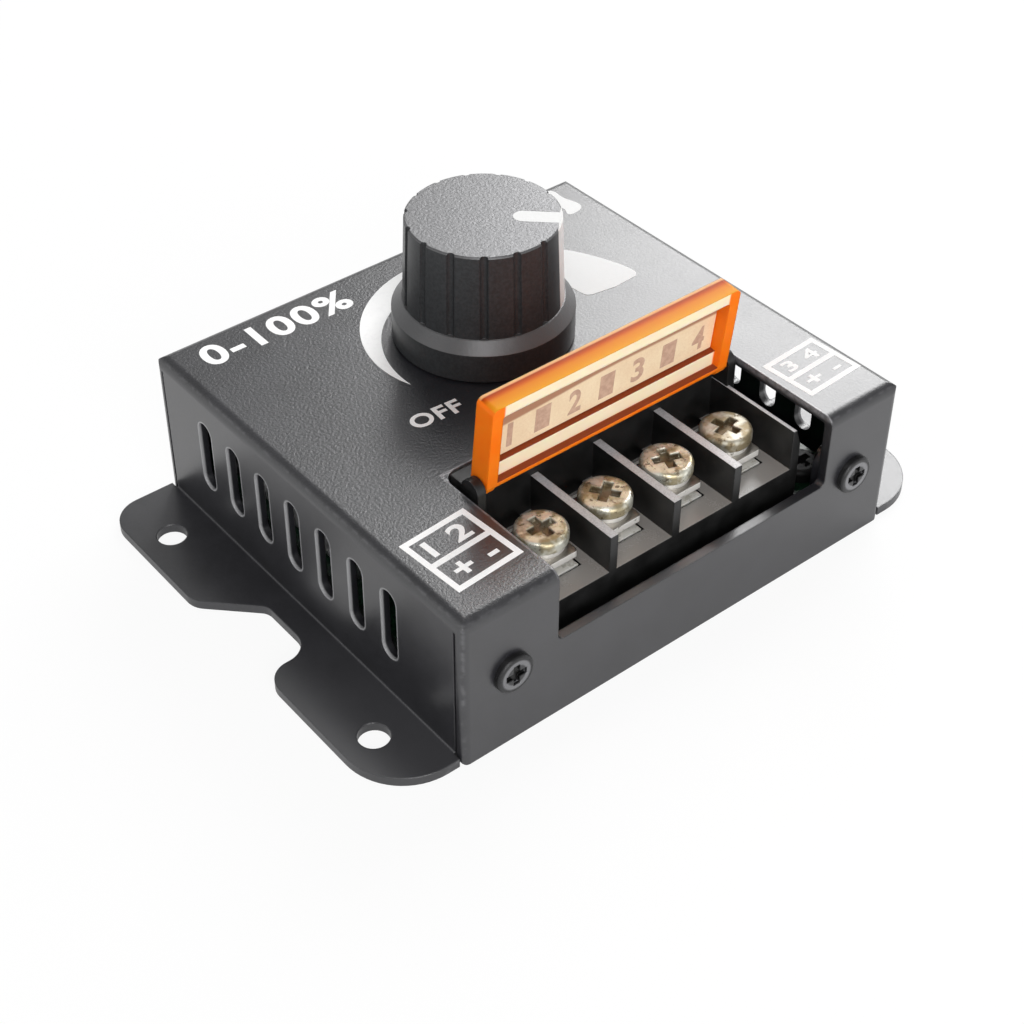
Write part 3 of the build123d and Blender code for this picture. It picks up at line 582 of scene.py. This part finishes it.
def makeMetal(name, bright, dull, roughness, **changes):
    s = dict(metalPlate, **changes)
    f = Finish(name)
    tarnish = f.place.noise(s["patch"], 4.0, 0.6).rise(*s["spots"])
    polish = f.place.noise(s["polish"], 3.0)
    # level faces painted dull, as painted shade, where that share is set
    flat = f.facing.part("Z").rise(0.6, 0.9) * (1.0 if s["matte"] else 0.0)
    f.set("Base Color", tarnish.most(flat * 0.85).blend(bright, dull))
    f.set("Metallic", s["metallic"] - 0.15 * tarnish - s["matte"] * (1 - flat))
    f.set("Roughness", roughness + 0.16 * tarnish + 0.1 * (polish - 0.5))
    f.relief(polish, s["depth"], s["edge"])
    return f.material


screwHeads = {
    "bright": (0.93, 0.93, 0.82),
    "dull": (0.40, 0.34, 0.21),
    "stain": (0.13, 0.09, 0.045),
    "metallic": 0.68,
    "roughness": 0.29,
    "cloud": 2.2,  # mm
    "smear": 0.9,  # mm
    "polish": 0.3,  # mm
    "depth": 0.05,  # mm
    "edge": 0.25,  # mm
    "lampSide": (9.0, 11.0),  # mm, x past which the heads are painted darker, painted shade on the lamp side, and rougher
    "row": (5.25, 9.5, -20.1),  # mm, x of one screw, pitch and y of the row
    "recess": (1.75, 1.9, 17.1, 17.4),  # mm, reach and height over which the painted shade in the recess ends
}


def makeScrewHeads(s):
    f = Finish("warm_nickel_plate")
    x, y, z = f.spot()
    cloud = f.place.noise(s["cloud"], 3.0, 0.55).rise(0.42, 0.62)
    smear = f.place.noise(s["smear"], 4.0, 0.6).rise(0.58, 0.66)
    polish = f.place.noise(s["polish"], 3.0)
    colour = cloud.blend(s["bright"], s["dull"])
    colour = (smear * 0.8).blend(colour, s["stain"])
    one, pitch, row = s["row"]
    near, far, low, high = s["recess"]
    # painted shade in the cross recess, in the stain colour
    recess = x.fromRow(one, pitch).reach(y - row).fall(near, far) * z.fall(low, high)
    colour = (recess * 0.85).blend(colour, s["stain"])
    # heads on the lamp side painted darker, as painted shade
    dull = x.rise(*s["lampSide"])
    f.set("Base Color", (dull * 0.55).blend(colour, s["stain"]))
    f.set("Metallic", s["metallic"] - 0.1 * cloud)
    f.set("Roughness", s["roughness"] + 0.14 * smear + 0.1 * (polish - 0.5) + 0.18 * dull)
    f.relief(0.7 * cloud + 0.3 * polish, s["depth"], s["edge"])
    return f.material


caseScrews = {
    # face: a painted highlight ring on the black head
    "face": (0.24, 0.24, 0.25),
    "black": (0.02, 0.02, 0.021),
    # painted shade in the recess
    "hollow": (0.004, 0.004, 0.004),
    "roughness": 0.3,
    "rub": 0.5,  # mm
    "depth": 0.02,  # mm
    "edge": 0.2,  # mm
    "axis": (26.3, 10.8),  # mm, x and z of each screw
    "ring": (1.75, 2.05),  # mm, where the painted highlight ring darkens outwards
    "dish": (1.2, 1.45),  # mm, where the painted highlight comes back round the recess
    "recess": (30.95, 31.1),  # mm, y between the recess and the face
}


def makeCaseScrews(s):
    f = Finish("black_oxide_case_screw")
    x, y, z = f.spot()
    reach = (x.size() - s["axis"][0]).reach(z - s["axis"][1])
    rubbed = f.place.noise(s["rub"], 3.0)
    # a painted highlight ring on the face, black at the rim and round the recess
    middle = reach.fall(*s["dish"])
    dark = reach.rise(*s["ring"]).most(0.9 * middle)
    # painted shade in the recess
    recessShadeMask = middle * y.size().fall(*s["recess"])
    colour = dark.blend(s["face"], s["black"])
    f.set("Base Color", recessShadeMask.blend(colour, s["hollow"]))
    f.set("Metallic", 1.0 - 0.6 * dark)
    f.set("Roughness", s["roughness"] + 0.2 * (rubbed - 0.5))
    f.relief(rubbed, s["depth"], s["edge"])
    return f.material


boardMask = {
    "deep": (0.003, 0.018, 0.009),
    "pale": (0.005, 0.028, 0.013),
    "track": (0.008, 0.045, 0.02),
    "roughness": 0.32,
    "mottle": 1.5,  # mm
    "tracks": {"Scale": 260.0, "Mortar Size": 0.03},
    "trackDepth": 0.03,  # mm
}


def makeBoard(s):
    f = Finish("green_circuit_board")
    inputs = dict(s["tracks"], Vector=f.place)
    track = f.wire.make("ShaderNodeTexBrick", {"offset": 0.5}, inputs, "Fac")
    mottle = f.place.noise(s["mottle"], 3.0)
    mask = mottle.rise(0.3, 0.7).blend(s["deep"], s["pale"])
    f.set("Base Color", track.blend(mask, s["track"]))
    f.set("Roughness", s["roughness"] + 0.1 * (mottle - 0.5))
    f.relief(track, s["trackDepth"])
    return f.material


def makePlain(name, deep, pale, roughness, grain=0.8, depth=0.01):  # grain and depth in mm
    f = Finish(name)
    speck = f.place.noise(grain, 4.0, 0.6)
    f.set("Base Color", speck.rise(0.35, 0.65).blend(deep, pale))
    f.set("Roughness", roughness + 0.15 * (speck - 0.5))
    f.relief(speck, depth)
    return f.material


plainMetals = {  # name, bright, dull, roughness, what differs from plain plate
    "tin": ("tinned_contact", (0.92, 0.91, 0.86), (0.6, 0.58, 0.52), 0.35, {"metallic": 0.35}),
    "brass": (
        "tinned_brass_strip", (0.88, 0.86, 0.82), (0.30, 0.28, 0.25), 0.38,
        {"spots": (0.55, 0.7), "edge": 0.3, "matte": 0.45},
    ),
    "zinc": ("zinc_plated_steel", (0.72, 0.73, 0.75), (0.5, 0.5, 0.5), 0.3, {}),
    "aluminium": ("aluminium_spreader", (0.78, 0.78, 0.79), (0.6, 0.6, 0.6), 0.4, {}),
    "shaft": ("turned_shaft_metal", (0.75, 0.74, 0.72), (0.55, 0.53, 0.5), 0.28, {}),
    "blackScrew": ("black_oxide_screw", (0.02, 0.02, 0.021), (0.01, 0.01, 0.01), 0.5, {"metallic": 0.4}),
}
plainPlastics = {  # name, deep, pale, roughness, and the grain in mm where it is finer
    "figures": ("brown_label_ink", rgb(203, 168, 145), rgb(186, 150, 128), 0.6),
    "film": ("insulating_film", (0.05, 0.05, 0.052), (0.09, 0.09, 0.09), 0.35),
    "phenolic": ("brown_phenolic", (0.13, 0.06, 0.025), (0.2, 0.1, 0.04), 0.55),
    "epoxy": ("chip_epoxy", (0.012, 0.012, 0.012), (0.025, 0.025, 0.025), 0.5, 0.2),
    "sleeve": ("capacitor_sleeve", (0.012, 0.015, 0.03), (0.02, 0.025, 0.05), 0.3),
    "resistor": ("resistor_coat", (0.35, 0.25, 0.13), (0.45, 0.33, 0.18), 0.45),
    "pad": ("insulating_pad", (0.28, 0.3, 0.33), (0.36, 0.38, 0.41), 0.6),
}
finishes = {
    "case": makeCasePaint(casePaint),
    "block": makeBlockPlastic(blockPlastic),
    "knob": makeKnobPlastic(knobPlastic),
    "inlay": makeWhiteInk("white_inlay_paint", whiteInk),
    "ink": makeWhiteInk("white_panel_ink", whiteInk),
    "amber": makeAmberPlastic(amberPlastic),
    "paper": makeLabelPaper(labelPaper),
    "nickel": makeScrewHeads(screwHeads),
    "caseScrew": makeCaseScrews(caseScrews),
    "board": makeBoard(boardMask),
}
for key, (*look, changes) in plainMetals.items():
    finishes[key] = makeMetal(*look, **changes)
for key, look in plainPlastics.items():
    finishes[key] = makePlain(*look)
print("finishes made:", len(finishes))

dressed = {
    "case": ["housing", "base_plate"],
    "block": ["terminal_block"],
    "knob": ["knob"],
    "inlay": ["knob_pointer"],
    "amber": ["terminal_cover"],
    "paper": ["cover_label"],
    "nickel": ["terminal_screws"],
    "tin": ["terminal_contact_1", "terminal_contact_2", "terminal_contact_3", "terminal_contact_4"],
    "brass": ["lock_washers", "clamp_washers", "standoffs"],
    "zinc": ["pot_washer", "pot_nut", "pot_bushing", "pot_can", "pot_terminals"],
    "aluminium": ["heat_spreader"],
    "shaft": ["pot_shaft"],
    "caseScrew": ["case_screws"],
    "blackScrew": ["board_screws", "transistor_screws"],
    "film": ["insulating_sheet"],
    "board": ["circuit_board"],
    "phenolic": ["pot_wafer", "pot_wiper"],
    "epoxy": [
        "power_transistor_1", "power_transistor_2", "control_chip", "voltage_regulator", "flyback_diode",
    ],
    "sleeve": ["input_capacitor_1", "input_capacitor_2"],
    "resistor": ["resistors"],
    "pad": ["transistor_pad_1", "transistor_pad_2"],
}


def dressNodes(plan):
    for finish, names in plan.items():
        for name in names:
            for slot in nodes[name].material_slots:
                slot.material = finishes[finish]
            if not nodes[name].material_slots:
                nodes[name].data.materials.append(finishes[finish])
    bare = set(nodes) - {name for names in plan.values() for name in names}
    print("nodes dressed, left bare:", sorted(bare))


dressNodes(dressed)


# Printed pieces
printing = {
    "ink": 0.03,  # mm thick
    "sink": 0.01,  # mm of it below the face
    "bold": 0.028,  # share of the letter size
    "spacing": 1.1,
    "smooth": 6,  # steps in a letter's curve
    "weld": 0.0005,  # mm
}


def addPiece(name, mesh, finish, body):
    piece = newObject(name, mesh)
    if not mesh.materials:
        mesh.materials.append(finishes[finish])
    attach(piece, body)


def settled(piece):  # the evaluated shape as a plain mesh
    bpy.context.view_layer.update()
    graph = bpy.context.evaluated_depsgraph_get()
    mesh = bpy.data.meshes.new_from_object(piece.evaluated_get(graph), depsgraph=graph)
    bpy.data.objects.remove(piece)
    return mesh


def outwards(mesh):  # welded, with its faces turned out
    work = bmesh.new()
    work.from_mesh(mesh)
    bmesh.ops.remove_doubles(work, verts=work.verts, dist=printing["weld"] * mm)
    bmesh.ops.recalc_face_normals(work, faces=work.faces)
    work.to_mesh(mesh)
    work.free()
    return mesh


def grownMesh(name, tree, values):  # run a node tree on an empty mesh and keep the result
    piece = newObject(name, bpy.data.meshes.new(name))
    modifier = piece.modifiers.new(name, "NODES")
    modifier.node_group = tree
    for item in tree.interface.items_tree:
        if item.name in values:
            modifier[item.identifier] = values[item.name]
    return settled(piece)


def newTree(name, sizes):
    tree = bpy.data.node_groups.new(name, "GeometryNodeTree")
    tree.interface.new_socket(name="Geometry", in_out="INPUT", socket_type="NodeSocketGeometry")
    for label, kind in sizes.items():
        tree.interface.new_socket(name=label, in_out="INPUT", socket_type="NodeSocket" + kind)
    tree.interface.new_socket(name="Geometry", in_out="OUTPUT", socket_type="NodeSocketGeometry")
    start = tree.nodes.new("NodeGroupInput")
    return tree, {out.name: Wire(tree, out) for out in start.outputs if out.name}


def endTree(tree, shape, material):
    wire = Wire(tree)
    real = wire.make("GeometryNodeRealizeInstances", None, {"Geometry": shape})
    done = wire.make("GeometryNodeSetMaterial", None, {"Geometry": real, "Material": material})
    end = tree.nodes.new("NodeGroupOutput")
    tree.links.new(done.socket, end.inputs["Geometry"])


# Brightness wedge printed round the knob
dialWedge = {
    "centre": (1.85, 7.1),  # mm
    "growth": (14.55, -16.99, 11.42),  # mm of width along the sweep: linear, square, cube
    "square": 4.0,  # how square the thick end's corners are
    "rows": 7,
    "inputs": {
        "Steps": 160,
        "Inner Radius": 14.16 * mm,
        "Start": math.radians(185.0),
        "Sweep": math.radians(188.8),
        "Nose": 0.955,  # share of the sweep where the thick end starts to round
        "Ink": printing["ink"] * mm,
    },
}


def wedgeTree(look):
    sizes = {name: "Int" if isinstance(value, int) else "Float" for name, value in look["inputs"].items()}
    sizes["Material"] = "Material"
    tree, at = newTree("brightness_wedge", sizes)
    wire = Wire(tree)
    counts = {"Size X": 1.0, "Size Y": 1.0, "Vertices X": at["Steps"], "Vertices Y": look["rows"]}
    strip = wire.make("GeometryNodeMeshGrid", None, counts)
    spot = wire.make("GeometryNodeInputPosition")
    along = spot.part("X") + 0.5
    across = spot.part("Y")
    one, two, three = (each * mm for each in look["growth"])
    width = along * (one + along * (two + along * three))
    tail = ((along - at["Nose"]) / (1 - at["Nose"])).most(0.0).least(1.0)
    narrowed = (1 - tail ** look["square"]).most(0.0) ** (1 / look["square"])
    radius = at["Inner Radius"] + width * (0.5 + across * narrowed)
    angle = at["Start"] - along * at["Sweep"]
    x = radius * wire.math("COSINE", angle) + look["centre"][0] * mm
    y = radius * wire.math("SINE", angle) + look["centre"][1] * mm
    flat = wire.make("ShaderNodeCombineXYZ", None, {0: x, 1: y, 2: caseTop * mm})
    laid = wire.make("GeometryNodeSetPosition", None, {"Geometry": strip, "Position": flat})
    lift = wire.make("ShaderNodeCombineXYZ", None, {2: at["Ink"]})
    raising = {"Mesh": laid, "Offset": lift, "Offset Scale": 1.0, "Individual": False}
    raised = wire.make("GeometryNodeExtrudeMesh", None, raising)
    under = wire.make("GeometryNodeFlipFaces", None, {"Mesh": laid})
    whole = wire.make("GeometryNodeJoinGeometry", None, {"Geometry": [raised, under]})
    weld = {"Geometry": whole, "Distance": printing["weld"] * mm}
    endTree(tree, wire.make("GeometryNodeMergeByDistance", None, weld), at["Material"])
    return tree


def printWedge(look):
    values = dict(look["inputs"], Material=finishes["ink"])
    mesh = outwards(grownMesh("dial_wedge", wedgeTree(look), values))
    addPiece("dial_wedge", mesh, "ink", "case")
    print("dial wedge printed:", len(mesh.polygons), "faces")


printWedge(dialWedge)


# Letters, figures and frames
def lettersMesh(text, width, height, place):
    curve = bpy.data.curves.new("letters", "FONT")
    curve.body = text
    curve.offset = printing["bold"]
    curve.space_character = printing["spacing"]
    curve.extrude = 0.5  # 1 thick, and the fit below brings it to the ink's
    curve.resolution_u = printing["smooth"]
    mesh = settled(newObject("letters", curve))
    spots = [vertex.co for vertex in mesh.vertices]
    low = Vector(min(spot[i] for spot in spots) for i in range(3))
    high = Vector(max(spot[i] for spot in spots) for i in range(3))
    across = width / (high.x - low.x)
    upward = height / (high.y - low.y)
    fit = Matrix.Diagonal((across * mm, upward * mm, printing["ink"] * mm, 1))
    mesh.transform(place @ fit @ Matrix.Translation(-(low + high) / 2))
    return mesh


def barMesh(bars, place):
    work = bmesh.new()
    for x, y, wide, tall in bars:
        size = Matrix.Diagonal((wide * mm, tall * mm, printing["ink"] * mm, 1))
        bmesh.ops.create_cube(work, size=1.0, matrix=place @ Matrix.Translation((x * mm, y * mm, 0)) @ size)
    mesh = bpy.data.meshes.new("bars")
    work.to_mesh(mesh)
    work.free()
    return mesh


def boxMesh(width, height, line, place):  # a frame with a bar across its middle
    bars = [
        (0, (height - line) / 2, width, line),
        (0, -(height - line) / 2, width, line),
        (-(width - line) / 2, 0, line, height - 2 * line),
        ((width - line) / 2, 0, line, height - 2 * line),
        (0, 0, width - 2 * line, line),
    ]
    return barMesh(bars, place)


def blotMesh(points, place):
    curve = bpy.data.curves.new("mark", "CURVE")
    curve.dimensions = "2D"
    curve.fill_mode = "BOTH"
    curve.extrude = printing["ink"] / 2 * mm
    line = curve.splines.new("NURBS")
    line.points.add(len(points) - 1)
    for spot, (x, y) in zip(line.points, points):
        spot.co = (x * mm, y * mm, 0, 1)
    line.use_cyclic_u = True
    line.order_u = 3
    mesh = settled(newObject("mark", curve))
    mesh.transform(place)
    return mesh


def joined(name, meshes):
    work = bmesh.new()
    for mesh in meshes:
        work.from_mesh(mesh)
    whole = bpy.data.meshes.new(name)
    work.to_mesh(whole)
    work.free()
    return outwards(whole)


def inkMiddle(face):  # mm
    return face + printing["ink"] / 2 - printing["sink"]


def onPanel(x, y, turn):  # middle of the ink, on the top face
    spot = Vector((x, y, inkMiddle(caseTop)))
    return Matrix.Translation(spot * mm) @ Matrix.Rotation(math.radians(turn), 4, "Z")


panelWords = {  # text: width, height, x, y in mm, turn
    "OFF": (6.9, 2.5, -13.4, -0.55, -4.5),
    "0-100%": (21.4, 4.3, -18.2, 25.75, -0.5),
}
panelBoxes = {  # width, height, line, x, y in mm, turn, upper and lower figures
    "left": (9.3, 9.7, 0.75, -25.6, -20.8, 4.0, "1 2", "+ -"),
    "right": (8.9, 7.8, 0.75, 27.2, -21.5, 3.0, "3 4", "+ -"),
}
boxFill = {"across": 0.62, "upper": 0.72, "lower": 0.55}  # share of the room that the figures take
cornerMark = [  # mm, outline of the mark at the far corner
    (28.66, 29.2), (29.26, 28.2), (29.0, 26.5), (29.4, 25.2), (29.9, 23.6),
    (29.0, 22.4), (26.5, 22.4), (27.6, 24.2), (26.3, 25.6), (25.6, 29.0),
]


def printPanel():
    meshes = [blotMesh(cornerMark, onPanel(0, 0, 0))]
    for text, (width, height, x, y, turn) in panelWords.items():
        meshes.append(lettersMesh(text, width, height, onPanel(x, y, turn)))
    for width, height, line, x, y, turn, upper, lower in panelBoxes.values():
        place = onPanel(x, y, turn)
        meshes.append(boxMesh(width, height, line, place))
        room = (height - 3 * line) / 2
        for side, text, fill in ((1, upper, boxFill["upper"]), (-1, lower, boxFill["lower"])):
            spot = place @ Matrix.Translation((0, side * (room + line) / 2 * mm, 0))
            meshes.append(lettersMesh(text, width * boxFill["across"], room * fill, spot))
    mesh = joined("panel_print", meshes)
    addPiece("panel_print", mesh, "ink", "case")
    print("panel printed:", len(mesh.polygons), "faces")


printPanel()


# Figures on the marking strip inside the cover
labelMarks = {  # mm
    "height": 3.5,
    "up": 5.5,  # from the hinge
    "figures": {"1": 0.8, "2": 1.9, "3": 1.9, "4": 1.9},  # width of each
    "blocks": 3,
    "block": 2.2,
    "pitch": 9.5,
    "face": -0.35,  # the strip's face, out from the hinge
}


def onLabel(across, up, face):  # middle of the ink, on the strip's face
    upward = Vector((0, -math.cos(coverLean), math.sin(coverLean)))
    outward = Vector((0, -math.sin(coverLean), -math.cos(coverLean)))
    turn = Matrix((Vector((1, 0, 0)), upward, outward)).transposed().to_4x4()
    spot = Vector(coverHinge) + Vector((across, 0, 0)) + up * upward + inkMiddle(face) * outward
    return Matrix.Translation(spot * mm) @ turn


def labelRow(count, look):  # places along the strip, evenly about its middle
    return [onLabel((i - (count - 1) / 2) * look["pitch"], look["up"], look["face"]) for i in range(count)]


def printLabel(look):
    meshes = []
    figures = look["figures"]
    for (text, width), place in zip(figures.items(), labelRow(len(figures), look)):
        meshes.append(lettersMesh(text, width, look["height"], place))
    for place in labelRow(look["blocks"], look):
        meshes.append(barMesh([(0, 0, look["block"], look["height"])], place))
    mesh = joined("label_print", meshes)
    addPiece("label_print", mesh, "figures", "cover")
    print("label printed:", len(mesh.polygons), "faces")


printLabel(labelMarks)
